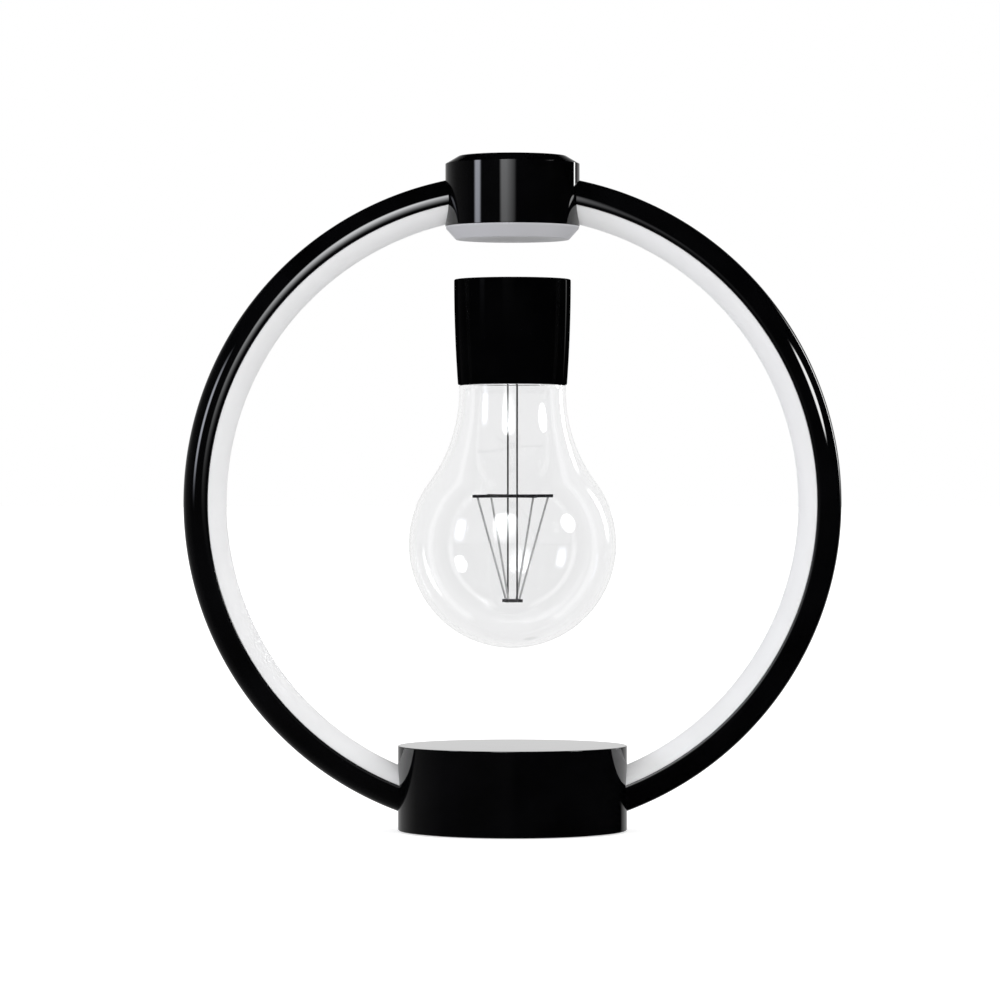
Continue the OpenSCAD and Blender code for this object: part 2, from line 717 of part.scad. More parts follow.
module coil_bobbin() {
  color(part_grey) rotate_extrude() polygon([
    [bobbin_in_r, bobbin_z], [bobbin_d / 2, bobbin_z], [bobbin_d / 2, bobbin_z + bobbin_wall],
    [bobbin_out_r, bobbin_z + bobbin_wall], [bobbin_out_r, bobbin_z + bobbin_h - bobbin_wall],
    [bobbin_d / 2, bobbin_z + bobbin_h - bobbin_wall], [bobbin_d / 2, bobbin_z + bobbin_h],
    [bobbin_in_r, bobbin_z + bobbin_h]]);
}

module magnet_coil() {
  coil_h = bobbin_h - 2 * bobbin_wall - 2 * fit_gap;
  color(copper) translate([0, 0, bobbin_z + bobbin_wall + fit_gap]) difference() {
    cylinder(d = bobbin_d - 2 * coil_inset, h = coil_h);
    translate([0, 0, -over]) cylinder(r = bobbin_out_r + fit_gap, h = coil_h + 2 * over);
  }
}

module yoke_plate() {
  color(steel) translate([0, 0, yoke_z]) difference() {
    cylinder(d = yoke_d, h = yoke_t);
    translate([0, 0, -over]) cylinder(d = stud_d + 2 * run_gap, h = yoke_t + 2 * over);
  }
}

module sensor_board() {
  color(board_green) union() {
    translate([0, 0, sensor_z]) cylinder(d = sensor_board_d, h = sensor_board_t);
    translate([-sensor_w / 2, -sensor_l / 2, sensor_z - tx_t + 2 * fit_gap]) cube([sensor_w, sensor_l, tx_t]);
  }
}

module power_coil() {
  color(copper) translate([0, 0, hub_floor]) difference() {
    cylinder(d = tx_od, h = tx_t);
    translate([0, 0, -over]) cylinder(d = tx_id, h = tx_t + 2 * over);
  }
}

module bulb_cap() {
  color(black) rotate_extrude() difference() {
    intersection() {
      translate([cap_r - barrel_r, cap_z1]) circle(barrel_r, $fn = 1024);
      polygon([[0, cap_z0], [cap_r + over, cap_z0], [cap_r + over, cap_z1 - cap_edge - over],
        [cap_r - cap_edge, cap_z1], [0, cap_z1]]);
    }
    translate([0, cap_z0 - over]) square([cap_bore / 2, cap_ceiling - cap_z0 + over]);
  }
}

module magnet_cup() {
  color(white) union() {
    rotate_extrude() polygon([
      [0, cup_z], [cup_r, cup_z], [cup_r, cup_top - rx_t - fit_gap], [rx_in_r, cup_top - rx_t - fit_gap],
      [rx_in_r, cup_top], [pocket_r, cup_top], [pocket_r, magnet_z - run_gap], [0, magnet_z - run_gap]]);
    for (a = [90, 210, 330]) rotate([0, 0, a]) translate([leg_circle, 0, cup_z - leg_l])
      cylinder(d = leg_d, h = leg_l + cup_floor / 2);
  }
}

module levitation_magnet() {
  color(steel) translate([0, 0, magnet_z]) cylinder(d = magnet_d, h = magnet_t);
}

module receiver_coil() {
  color(copper) translate([0, 0, cup_top - rx_t]) difference() {
    cylinder(r = cup_r, h = rx_t);
    translate([0, 0, -over]) cylinder(r = rx_in_r + fit_gap, h = rx_t + 2 * over);
  }
}

module rectifier_board() {
  color(board_green) translate([0, 0, rectifier_z]) cylinder(r = cap_bore / 2 - rectifier_gap, h = rectifier_t);
}

module rectifier_parts() {
  color(part_grey) {
    translate([0, cup_r / 2, rectifier_z - store_h]) cylinder(d = store_d, h = store_h);
    for (x = [-cup_r / 2, cup_r / 2]) translate([x - diode_w / 2, -cup_r / 3 - diode_l / 2, rectifier_z - diode_h])
      cube([diode_w, diode_l, diode_h]);
  }
}

module neck_plug() {
  color(white) difference() {
    translate([0, 0, shoulder_z]) cylinder(r = collar_in_r - fit_gap, h = collar_h);
    at_wires() translate([0, 0, shoulder_z - over])
      cylinder(r = wire_hole_r, h = collar_h + 2 * over, $fn = 24);
  }
}

// Half outline of the bulb: a ball, a flare that meets it smoothly and a straight neck up to the given height
module bulb_outline(ball, flare, top) {
  reach = (ball + over) * flare_dir;
  intersection() {
    translate([0, ball_z]) circle(ball, $fn = 256);
    translate([0, ball_z - 2 * ball]) square([2 * ball, 4 * ball]);
  }
  difference() {
    polygon([[0, ball_z], [reach[0], ball_z + reach[1]], [reach[0], neck_z], [0, neck_z]]);
    translate([flare_x, neck_z]) circle(flare, $fn = 256);
  }
  translate([0, neck_z]) square([flare_x - flare, top - neck_z]);
}

module bulb_glass() {
  color(clear) rotate_extrude() difference() {
    union() {
      bulb_outline(ball_r, flare_r, shoulder_z);
      translate([0, shoulder_z - glass_t]) square([collar_r, collar_h + glass_t]);
    }
    bulb_outline(ball_r - glass_t, flare_r + glass_t, shoulder_z - glass_t);
    translate([0, shoulder_z - 2 * glass_t]) square([collar_in_r, collar_h + 3 * glass_t]);
  }
}

module lead_wires() {
  color(dark_steel) at_wires() translate([0, 0, low_cross_z + bar_t / 2])
    cylinder(r = wire_r, h = rectifier_z - low_cross_z - bar_t / 2, $fn = 24);
}

// Two flat bars that cross on the axis, with a small disc where they meet
module cross(reach, z) {
  translate([0, 0, z - bar_t / 2]) {
    cylinder(r = disc_r, h = bar_t, $fn = 48);
    for (a = [0, 90]) rotate([0, 0, cage_turn + a]) translate([-reach, -bar_w / 2, 0])
      cube([2 * reach, bar_w, bar_t]);
  }
}

module upper_cross() {
  color(dark_steel) difference() {
    cross(bar_up, cross_z);
    at_wires() translate([0, 0, cross_z - bar_t]) cylinder(r = wire_hole_r, h = 2 * bar_t, $fn = 24);
  }
}

module lower_cross() {
  color(dark_steel) cross(bar_down, low_cross_z);
}

module led_filaments() {
  top = cross_z - bar_t / 2;
  bottom = low_cross_z + bar_t / 2;
  lean = atan((filament_up - filament_down) / (top - bottom));
  color(pale) intersection() {
    translate([-bar_up, -bar_up, bottom]) cube([2 * bar_up, 2 * bar_up, top - bottom]);
    for (a = [0:90:270]) rotate([0, 0, cage_turn + a]) translate([filament_down, 0, bottom])
      rotate([0, lean, 0]) translate([0, 0, -over])
        cylinder(d = filament_d, h = (top - bottom) / cos(lean) + 2 * over, $fn = 24);
  }
}

base_housing();
base_bottom_cover();
foot_pad();
base_weight();
base_screws();
control_board();
board_parts();
board_screws();
power_inlet();
inlet_pin();
switch_board();
button_switch();
switch_plunger();
power_button();
left_channel();
right_channel();
left_diffuser();
right_diffuser();
left_light_strip();
right_light_strip();
feed_cables();
hub_housing();
hub_cover();
magnet_core();
coil_bobbin();
magnet_coil();
yoke_plate();
sensor_board();
power_coil();
bulb_cap();
magnet_cup();
levitation_magnet();
receiver_coil();
rectifier_board();
rectifier_parts();
neck_plug();
bulb_glass();
lead_wires();
upper_cross();
lower_cross();
led_filaments();
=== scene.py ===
import math
import bmesh
import bpy
from mathutils import Matrix, Vector


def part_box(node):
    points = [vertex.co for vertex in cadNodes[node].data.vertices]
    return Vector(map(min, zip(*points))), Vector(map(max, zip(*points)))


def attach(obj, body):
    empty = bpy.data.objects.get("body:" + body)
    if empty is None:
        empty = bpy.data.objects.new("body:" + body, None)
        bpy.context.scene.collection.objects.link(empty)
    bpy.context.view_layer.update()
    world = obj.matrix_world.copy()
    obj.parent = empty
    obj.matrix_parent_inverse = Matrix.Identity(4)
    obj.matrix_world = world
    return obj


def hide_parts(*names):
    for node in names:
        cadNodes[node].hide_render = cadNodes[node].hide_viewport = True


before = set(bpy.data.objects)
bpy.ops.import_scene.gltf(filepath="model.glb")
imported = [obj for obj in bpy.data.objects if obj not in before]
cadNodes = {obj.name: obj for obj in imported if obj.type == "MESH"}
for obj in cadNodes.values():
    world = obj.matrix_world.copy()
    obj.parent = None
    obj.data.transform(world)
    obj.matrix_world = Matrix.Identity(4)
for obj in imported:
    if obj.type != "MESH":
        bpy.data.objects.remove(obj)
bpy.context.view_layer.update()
print("frame loaded:", len(cadNodes), "nodes")

mm = 0.001        # pieces are modelled in millimetres, and meshObject brings them to metres
weld = 1e-4       # points nearer than this become one
slack = 0.02      # points this near to a place count as there
lamp = {
    "ringR": 88.75, "tubeR": 6.25,       # centre line of the ring and its round tube
    "baseR": 33.1, "armEntry": 12.4,     # the ring's centre line enters the base at this height
    "hubR": 19.4, "armRise": 6.9,        # and leaves the hub this high over its lower edge
    "armInBase": 6.0, "armInHub": 4.0,   # how far the arms reach into both
    "socketGap": 0.1,
}
ringZ = lamp["armEntry"] + math.sqrt(lamp["ringR"] ** 2 - lamp["baseR"] ** 2)
hubZ = ringZ + math.sqrt(lamp["ringR"] ** 2 - lamp["hubR"] ** 2) - lamp["armRise"]
lowAngle = math.degrees(math.acos((lamp["baseR"] - lamp["armInBase"]) / lamp["ringR"]))
highAngle = math.degrees(math.acos((lamp["hubR"] - lamp["armInHub"]) / lamp["ringR"]))


# node helpers
def grey(level):
    return (level, level, level, 1.0)


def addNode(tree, kind, inputs=None, **settings):
    node = tree.nodes.new(kind)
    for key, value in settings.items():
        setattr(node, key, value)
    for key, value in (inputs or {}).items():
        node.inputs[key].default_value = value
    return node


def startMaterial(name):
    material = bpy.data.materials.new(name)
    material.use_nodes = True
    tree = material.node_tree
    shader = next(n for n in tree.nodes if n.type == "BSDF_PRINCIPLED")
    coords = addNode(tree, "ShaderNodeTexCoord")
    return material, tree, shader, coords.outputs["Object"]


def noiseOn(tree, coords, scale, detail=3.0, rough=0.5, stretch=(1.0, 1.0, 1.0)):
    mapping = addNode(tree, "ShaderNodeMapping", {"Scale": stretch})
    noise = addNode(tree, "ShaderNodeTexNoise", {"Scale": scale, "Detail": detail, "Roughness": rough})
    tree.links.new(coords, mapping.inputs["Vector"])
    tree.links.new(mapping.outputs["Vector"], noise.inputs["Vector"])
    return noise.outputs["Fac"]


def rampColour(tree, factor, stops):
    ramp = addNode(tree, "ShaderNodeValToRGB")
    while len(ramp.color_ramp.elements) < len(stops):
        ramp.color_ramp.elements.new(0.5)
    for element, (place, colour) in zip(ramp.color_ramp.elements, stops):
        element.position = place
        element.color = (*colour, 1.0)
    tree.links.new(factor, ramp.inputs["Fac"])
    return ramp.outputs["Color"]


def spread(tree, factor, low, high, fromLow=0.3, fromHigh=0.7):
    # the usual limits are those that a noise pattern keeps to
    node = addNode(tree, "ShaderNodeMapRange", {"From Min": fromLow, "From Max": fromHigh,
                                                "To Min": low, "To Max": high})
    tree.links.new(factor, node.inputs["Value"])
    return node.outputs["Result"]


def bumpFrom(tree, shader, height, depth):
    bump = addNode(tree, "ShaderNodeBump", {"Strength": 1.0, "Distance": depth})
    tree.links.new(height, bump.inputs["Height"])
    tree.links.new(bump.outputs["Normal"], shader.inputs["Normal"])


def glowInGlass(material, tree, shader, steady, inside):
    # painted light: a steady glow, and a stronger one, a painted reflection, that only reflections within
    # the bulb's glass meet
    path = addNode(tree, "ShaderNodeLightPath")
    once = addNode(tree, "ShaderNodeMath", {1: 1.0}, operation="MINIMUM")
    paintedGlassReflection = addNode(tree, "ShaderNodeMath", operation="MULTIPLY")
    strength = addNode(tree, "ShaderNodeMath", {1: inside, 2: steady}, operation="MULTIPLY_ADD")
    tree.links.new(path.outputs["Glossy Depth"], once.inputs[0])
    tree.links.new(once.outputs["Value"], paintedGlassReflection.inputs[0])
    tree.links.new(path.outputs["Is Transmission Ray"], paintedGlassReflection.inputs[1])
    tree.links.new(paintedGlassReflection.outputs["Value"], strength.inputs[0])
    tree.links.new(strength.outputs["Value"], shader.inputs["Emission Strength"])
    shader.inputs["Emission Color"].default_value = grey(1.0)
    material.cycles.emission_sampling = "NONE"


def dullRim(tree, shader, gloss, rim):
    # the gloss ends where the surface turns away
    facing = addNode(tree, "ShaderNodeLayerWeight", {"Blend": 0.5})
    level = spread(tree, facing.outputs["Facing"], gloss, 0.0, *rim)
    tree.links.new(level, shader.inputs["Specular IOR Level"])


# finishes: cloud gives the colour, haze the roughness and relief the bump of the given depth in metres;
# where haze or relief is left out, cloud gives that too
looks = {
    "black_gloss": {
        "name": "black_gloss_plastic", "dark": (0.0009, 0.0009, 0.0011), "light": (0.0020, 0.0020, 0.0024),
        "stops": (0.35, 0.65), "rough": (0.028, 0.05), "depth": 6e-7,
        "cloud": {"scale": 55.0, "detail": 4.0}, "haze": {"scale": 160.0, "detail": 5.0},
        "relief": {"scale": 620.0, "detail": 2.0}, "sockets": {"IOR": 1.5}},
    "black_satin": {   # a coat that hardly mirrors
        "name": "black_satin_plastic", "dark": (0.0006, 0.0006, 0.0007), "light": (0.0014, 0.0014, 0.0016),
        "stops": (0.35, 0.65), "rough": (0.03, 0.05), "depth": 5e-7, "rim": (0.60, 0.66),
        "cloud": {"scale": 70.0, "detail": 4.0}, "haze": {"scale": 240.0, "detail": 5.0},
        "relief": {"scale": 900.0, "detail": 2.0}, "sockets": {"IOR": 1.5, "Specular IOR Level": 0.008}},
    "white_diffuser": {   # the milky wall leads some light round the ring; its steady glow is painted light that evens its shading, and its stronger glow in the bulb's glass is a painted reflection
        "name": "frosted_white_silicone_painted_glow", "dark": (0.79, 0.79, 0.795), "light": (0.81, 0.81, 0.815),
        "stops": (0.3, 0.7), "rough": (0.42, 0.52), "depth": 3e-6, "glow": 0.12, "paintedGlassReflection": 0.9,
        "cloud": {"scale": 90.0, "detail": 4.0}, "haze": {"scale": 380.0},
        "relief": {"scale": 4200.0, "detail": 2.0},
        "sockets": {"IOR": 1.43, "Specular IOR Level": 0.25, "Subsurface Weight": 0.5,
                    "Subsurface Radius": (1.0, 1.0, 1.0), "Subsurface Scale": 0.002}},
    "white_cover": {
        "name": "satin_white_plastic", "dark": (0.555, 0.555, 0.58), "light": (0.57, 0.57, 0.595),
        "stops": (0.3, 0.7), "rough": (0.32, 0.36), "depth": 4e-7,
        "cloud": {"scale": 70.0, "detail": 4.0}, "haze": {"scale": 300.0},
        "relief": {"scale": 2600.0, "detail": 2.0}, "sockets": {"IOR": 1.46, "Specular IOR Level": 0.4}},
    "clear_glass": {
        "name": "clear_bulb_glass", "dark": (0.944, 0.945, 0.948), "light": (0.953, 0.954, 0.957),
        "stops": (0.3, 0.7), "rough": (0.0004, 0.003), "depth": 4e-6,
        "cloud": {"scale": 30.0, "detail": 2.0}, "haze": {"scale": 120.0, "detail": 4.0},
        "relief": {"scale": 45.0, "detail": 1.0}, "sockets": {"IOR": 1.46, "Transmission Weight": 1.0}},
    "dark_wire": {
        "name": "dark_drawn_wire", "dark": (0.006, 0.006, 0.007), "light": (0.018, 0.018, 0.02),
        "stops": (0.3, 0.7), "rough": (0.38, 0.52), "depth": 3e-6,
        "cloud": {"scale": 2200.0, "stretch": (1.0, 1.0, 0.06)}, "sockets": {"Specular IOR Level": 0.1}},
    "filament": {
        "name": "phosphor_filament", "dark": (0.36, 0.36, 0.356), "light": (0.46, 0.458, 0.45),
        "stops": (0.35, 0.65), "rough": (0.5, 0.68), "depth": 1.2e-5,
        "cloud": {"scale": 5200.0, "detail": 4.0, "rough": 0.6}},
    "steel": {
        "name": "brushed_steel", "dark": (0.42, 0.43, 0.44), "light": (0.62, 0.63, 0.64),
        "stops": (0.3, 0.7), "rough": (0.26, 0.4), "depth": 3e-6,
        "cloud": {"scale": 900.0, "detail": 4.0, "rough": 0.55, "stretch": (1.0, 1.0, 0.15)},
        "sockets": {"Metallic": 1.0}},
    "nickel": {
        "name": "nickel_plate", "dark": (0.55, 0.53, 0.49), "light": (0.68, 0.66, 0.61),
        "stops": (0.3, 0.7), "rough": (0.12, 0.24), "depth": 3e-6,
        "cloud": {"scale": 500.0, "detail": 4.0, "rough": 0.55}, "sockets": {"Metallic": 1.0}},
    "black_matte": {
        "name": "grained_black_plastic", "dark": (0.010, 0.010, 0.011), "light": (0.020, 0.020, 0.021),
        "stops": (0.3, 0.7), "rough": (0.5, 0.64), "depth": 2.2e-5,
        "cloud": {"scale": 2600.0, "rough": 0.6}},
    "black_rubber": {
        "name": "foot_rubber", "dark": (0.014, 0.014, 0.014), "light": (0.030, 0.030, 0.029),
        "stops": (0.3, 0.7), "rough": (0.72, 0.88), "depth": 3e-5,
        "cloud": {"scale": 1500.0, "detail": 5.0, "rough": 0.65}},
    "pale_strip": {
        "name": "light_strip_film", "dark": (0.62, 0.61, 0.56), "light": (0.78, 0.77, 0.70),
        "stops": (0.35, 0.65), "rough": (0.38, 0.55), "depth": 8e-6, "cloud": {"scale": 420.0}},
}
winding = {"dark": (0.36, 0.15, 0.07), "light": (0.74, 0.36, 0.18), "stops": (0.1, 0.6), "turns": 130.0,
           "waver": 0.4, "rough": (0.24, 0.36), "haze": 900.0, "depth": 6e-5, "metallic": 0.9}
board = {"mask": (0.012, 0.10, 0.035), "trace": (0.03, 0.19, 0.07), "rough": (0.3, 0.42), "fields": 210.0,
         "traceW": 0.035, "haze": 800.0, "depth": 1.5e-5}


def makeFinish(look, name=None, paintedGlassReflection=0.0):
    material, tree, shader, coords = startMaterial(name or look["name"])
    cloud = noiseOn(tree, coords, **look["cloud"])
    haze = noiseOn(tree, coords, **look["haze"]) if "haze" in look else cloud
    relief = noiseOn(tree, coords, **look["relief"]) if "relief" in look else cloud
    colour = rampColour(tree, cloud, list(zip(look["stops"], (look["dark"], look["light"]))))
    tree.links.new(colour, shader.inputs["Base Color"])
    tree.links.new(spread(tree, haze, *look["rough"]), shader.inputs["Roughness"])
    bumpFrom(tree, shader, relief, look["depth"])
    for socket, value in look.get("sockets", {}).items():
        shader.inputs[socket].default_value = value
    # painted light: a finish may glow steadily, and glow where mirrored inside the bulb's glass as a painted
    # reflection
    inside = paintedGlassReflection or look.get("paintedGlassReflection", 0.0)
    if inside:
        glowInGlass(material, tree, shader, look.get("glow", 0.0), inside)
    if "rim" in look:
        dullRim(tree, shader, look["sockets"]["Specular IOR Level"], look["rim"])
    return material


def copperWinding():
    look = winding
    material, tree, shader, coords = startMaterial("enamelled_copper")
    wave = addNode(tree, "ShaderNodeTexWave", wave_type="BANDS", bands_direction="Z", inputs={
        "Scale": look["turns"], "Distortion": look["waver"], "Detail": 1.0})
    tree.links.new(coords, wave.inputs["Vector"])
    colour = rampColour(tree, wave.outputs["Fac"], list(zip(look["stops"], (look["dark"], look["light"]))))
    tree.links.new(colour, shader.inputs["Base Color"])
    haze = noiseOn(tree, coords, look["haze"])
    tree.links.new(spread(tree, haze, *look["rough"]), shader.inputs["Roughness"])
    bumpFrom(tree, shader, wave.outputs["Fac"], look["depth"])
    shader.inputs["Metallic"].default_value = look["metallic"]
    return material


def circuitBoard():
    look = board
    material, tree, shader, coords = startMaterial("green_circuit_board")
    mask, trace = (*look["mask"], 1.0), (*look["trace"], 1.0)
    brick = addNode(tree, "ShaderNodeTexBrick", {"Scale": look["fields"], "Mortar Size": look["traceW"],
                                                 "Color1": mask, "Color2": mask, "Mortar": trace})
    tree.links.new(coords, brick.inputs["Vector"])
    tree.links.new(brick.outputs["Color"], shader.inputs["Base Color"])
    haze = noiseOn(tree, coords, look["haze"])
    tree.links.new(spread(tree, haze, *look["rough"]), shader.inputs["Roughness"])
    bumpFrom(tree, shader, brick.outputs["Fac"], look["depth"])
    return material


finishes = {slot: makeFinish(look) for slot, look in looks.items()}
finishes["copper"] = copperWinding()
finishes["green_board"] = circuitBoard()
for node in cadNodes.values():
    for place in node.material_slots:
        place.material = finishes[place.material.name.split(".")[0]]
print("finishes made:", len(finishes))


# modelling helpers; a profile to be turned on the lathe runs in radius and height
def addObject(name, data):
    thing = bpy.data.objects.new(name, data)
    bpy.context.scene.collection.objects.link(thing)
    return thing


def chainTo(bm, vert, place):
    tip = bmesh.ops.extrude_vert_indiv(bm, verts=[vert])["verts"][0]
    tip.co = place
    return tip


def chainLine(bm, tip, points):
    for r, z in points:
        tip = chainTo(bm, tip, (r, 0.0, z))
    return tip


def chainTurn(bm, vert, centre, axis, angle, steps):
    made = bmesh.ops.spin(bm, geom=[vert], cent=centre, axis=axis, angle=angle, steps=steps)
    return next(g for g in made["geom_last"] if isinstance(g, bmesh.types.BMVert))


def chainArc(bm, vert, centre, degrees, steps):
    r, z = centre
    return chainTurn(bm, vert, (r, 0.0, z), (0.0, -1.0, 0.0), math.radians(degrees), steps)


def latheRound(bm, steps):
    bmesh.ops.spin(bm, geom=bm.verts[:] + bm.edges[:], cent=(0, 0, 0), axis=(0, 0, 1), angle=math.tau,
                   steps=steps, use_merge=True)
    bmesh.ops.remove_doubles(bm, verts=bm.verts[:], dist=weld)   # closes the poles
    bmesh.ops.recalc_face_normals(bm, faces=bm.faces[:])


def bevelEdges(bm, edges, width, segments):
    bmesh.ops.bevel(bm, geom=edges, offset=width, offset_type="OFFSET", affect="EDGES", segments=segments,
                    profile=0.5, clamp_overlap=True, material=-1)


def softenEdge(bm, r, z, width, segments, least=18.0):
    # rounds the edge at this radius and height, where its faces turn by more than the least angle
    limit = math.radians(least)

    def onEdge(vert):
        return abs(math.hypot(vert.co.x, vert.co.y) - r) < slack and abs(vert.co.z - z) < slack

    edges = [e for e in bm.edges if e.is_manifold and e.calc_face_angle(0.0) > limit
             and all(onEdge(vert) for vert in e.verts)]
    bevelEdges(bm, edges, width, segments)


def meshObject(bm, name):
    bmesh.ops.scale(bm, vec=(mm, mm, mm), verts=bm.verts[:])
    mesh = bpy.data.meshes.new(name)
    bm.to_mesh(mesh)
    bm.free()
    return addObject(name, mesh)


def cutWith(piece, *cutters):
    for cutter in cutters:
        cut = piece.modifiers.new("cut", "BOOLEAN")
        cut.operation = "DIFFERENCE"
        cut.solver = "EXACT"
        cut.object = cutter
    view = bpy.context.evaluated_depsgraph_get()
    whole = bpy.data.meshes.new_from_object(piece.evaluated_get(view))
    old = piece.data
    piece.modifiers.clear()
    piece.data = whole
    bpy.data.meshes.remove(old)
    for cutter in cutters:
        bpy.data.objects.remove(cutter)


def finishPiece(piece, body, slot, *nodes, smooth=32.0, finish=None):
    piece.data.shade_smooth()
    piece.data.set_sharp_from_angle(angle=math.radians(smooth))
    piece.data.materials.clear()
    piece.data.materials.append(finish or finishes[slot])
    level = piece.modifiers.new("even shading", "WEIGHTED_NORMAL")
    level.keep_sharp = True
    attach(piece, body)
    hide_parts(*nodes)
    print("  made", piece.name, len(piece.data.polygons), "faces")


# cutting tools
toolMesh = {"ringRound": 56, "ringSteps": 288, "barRound": 72}


def ringTool(extra=0.0):
    # the whole ring's tube, wider than the arms by the gap of their sockets
    bm = bmesh.new()
    bmesh.ops.create_circle(bm, cap_ends=False, segments=toolMesh["ringRound"],
                            radius=lamp["tubeR"] + lamp["socketGap"] + extra)
    bmesh.ops.translate(bm, vec=(lamp["ringR"], 0, ringZ), verts=bm.verts[:])
    bmesh.ops.spin(bm, geom=bm.verts[:] + bm.edges[:], cent=(0, 0, ringZ), axis=(0, -1, 0), angle=math.tau,
                   steps=toolMesh["ringSteps"], use_merge=True)
    bmesh.ops.recalc_face_normals(bm, faces=bm.faces[:])
    return meshObject(bm, "ring_tool")


def pointOut(bm, turn, z):
    # what stands on the axis is laid down to point out of the rear of the base
    for degrees, axis in ((-90, "X"), (-turn, "Z")):
        bmesh.ops.rotate(bm, cent=(0, 0, 0), matrix=Matrix.Rotation(math.radians(degrees), 3, axis),
                         verts=bm.verts[:])
    bmesh.ops.translate(bm, vec=(0, 0, z), verts=bm.verts[:])


def barTool(radius, start, end, turn, z, name):
    # a round bar that points out of the rear of the base
    bm = bmesh.new()
    bmesh.ops.create_cone(bm, cap_ends=True, segments=toolMesh["barRound"], radius1=radius, radius2=radius,
                          depth=end - start)
    bmesh.ops.translate(bm, vec=(0, 0, (start + end) / 2), verts=bm.verts[:])
    pointOut(bm, turn, z)
    return meshObject(bm, name)


def buttonPort():
    # the button's turn from the rear and its height, as the CAD part has them
    lo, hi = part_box("power_button")
    out = (lo + hi) / 2
    return math.degrees(math.atan2(out.x, out.y)), out.z / mm


# base
baseShell = {"top": 24.7, "foot": 0.3, "wall": 2.0, "roof": 2.0, "edge": 0.22, "lowEdge": 0.3, "inEdge": 0.2,
             "steps": 224, "inletR": 4.75, "buttonR": 4.15, "portIn": 4.0, "portOut": 2.0,
             "paintedGlassReflection": 0.9}   # painted reflection: the base glows white where the bulb's glass mirrors it inside, showing the pale room in its place


def makeBase():
    s = baseShell
    rOut, rIn, ceiling = lamp["baseR"], lamp["baseR"] - s["wall"], s["top"] - s["roof"]
    bm = bmesh.new()
    chainLine(bm, bm.verts.new((0.0, 0.0, s["top"])), (
        (rOut, s["top"]), (rOut, s["foot"]), (rIn, s["foot"]), (rIn, ceiling), (0.0, ceiling)))
    latheRound(bm, s["steps"])
    softenEdge(bm, rOut, s["top"], s["edge"], segments=4)
    softenEdge(bm, rOut, s["foot"], s["lowEdge"], segments=3)
    softenEdge(bm, rIn, s["foot"], s["inEdge"], segments=2)
    piece = meshObject(bm, "base_shell")
    turn, portZ = buttonPort()
    start, end = rIn - s["portIn"], rOut + s["portOut"]
    cutWith(piece, ringTool(), barTool(s["inletR"], start, end, 0.0, portZ, "inlet_tool"),
            barTool(s["buttonR"], start, end, turn, portZ, "button_tool"))
    # the base's finish is black gloss with a painted reflection: it glows white where mirrored inside the
    # bulb's glass
    finishPiece(piece, "lamp_frame", "black_gloss", "base_housing",
                finish=makeFinish(looks["black_gloss"], "base_gloss_plastic_painted_reflection", s["paintedGlassReflection"]))


# push button at the rear; heights run outwards from the lamp's axis
pushButton = {"stemR": 2.0, "stemIn": 26.012, "flangeR": 4.9, "flangeIn": 29.412, "flangeOut": 30.412,
              "capR": 4.0, "face": 34.7, "edge": 0.45, "flangeEdge": 0.15, "steps": 72,
              "rim": 0.75, "dish": 0.4, "dishEdge": 0.12, "dishAngle": 8.0, "dishSteps": 10}


def makeButton():
    s = pushButton
    dishR = s["capR"] - s["rim"]
    bowl = (dishR ** 2 + s["dish"] ** 2) / (2 * s["dish"])
    bm = bmesh.new()
    tip = chainLine(bm, bm.verts.new((0.0, 0.0, s["stemIn"])), (
        (s["stemR"], s["stemIn"]), (s["stemR"], s["flangeIn"]), (s["flangeR"], s["flangeIn"]),
        (s["flangeR"], s["flangeOut"]), (s["capR"], s["flangeOut"]), (s["capR"], s["face"]),
        (dishR, s["face"])))
    chainArc(bm, tip, (0.0, s["face"] - s["dish"] + bowl), -math.degrees(math.asin(dishR / bowl)),
             s["dishSteps"])
    latheRound(bm, s["steps"])
    softenEdge(bm, s["capR"], s["face"], s["edge"], segments=5)
    softenEdge(bm, dishR, s["face"], s["dishEdge"], segments=3, least=s["dishAngle"])
    softenEdge(bm, s["flangeR"], s["flangeOut"], s["flangeEdge"], segments=2)
    pointOut(bm, *buttonPort())
    finishPiece(meshObject(bm, "push_button"), "button", "black_gloss", "power_button")


# ring
ringChannel = {"split": 1.1, "slotW": 8.6, "slotFloor": 2.3, "groove": 2.2, "lip": 0.22,
               "steps": 176, "round": 40}
ringDiffuser = {"split": 1.2, "tongueL": 1.8, "tongueT": 1.0, "tongueY": 4.2, "lip": 0.2,
                "steps": 176, "round": 34}


def tubeProfile(bm, points, arcFrom, arcTo, arcSteps):
    # an arc of the tube from one angle to another, then straight lines through the points back to its start
    centre = Vector((lamp["ringR"], 0, ringZ))
    r = lamp["tubeR"]
    first = bm.verts.new(centre + Vector((r * math.cos(arcFrom), r * math.sin(arcFrom), 0)))
    tip = chainTurn(bm, first, centre, (0, 0, 1), arcTo - arcFrom, arcSteps)
    for u, v in points:
        tip = chainTo(bm, tip, centre + Vector((u, v, 0)))
    bm.edges.new((tip, first))


def sweepRing(bm, start, end, steps):
    # the profile stands at angle 0 of the ring; it is turned to its start and swept to its end
    bmesh.ops.rotate(bm, cent=(0, 0, ringZ), matrix=Matrix.Rotation(math.radians(start), 3, (0, -1, 0)),
                     verts=bm.verts[:])
    bmesh.ops.spin(bm, geom=bm.verts[:] + bm.edges[:], cent=(0, 0, ringZ), axis=(0, -1, 0),
                   angle=math.radians(end - start), steps=steps)
    bmesh.ops.holes_fill(bm, edges=[e for e in bm.edges if e.is_boundary], sides=0)
    bmesh.ops.recalc_face_normals(bm, faces=bm.faces[:])


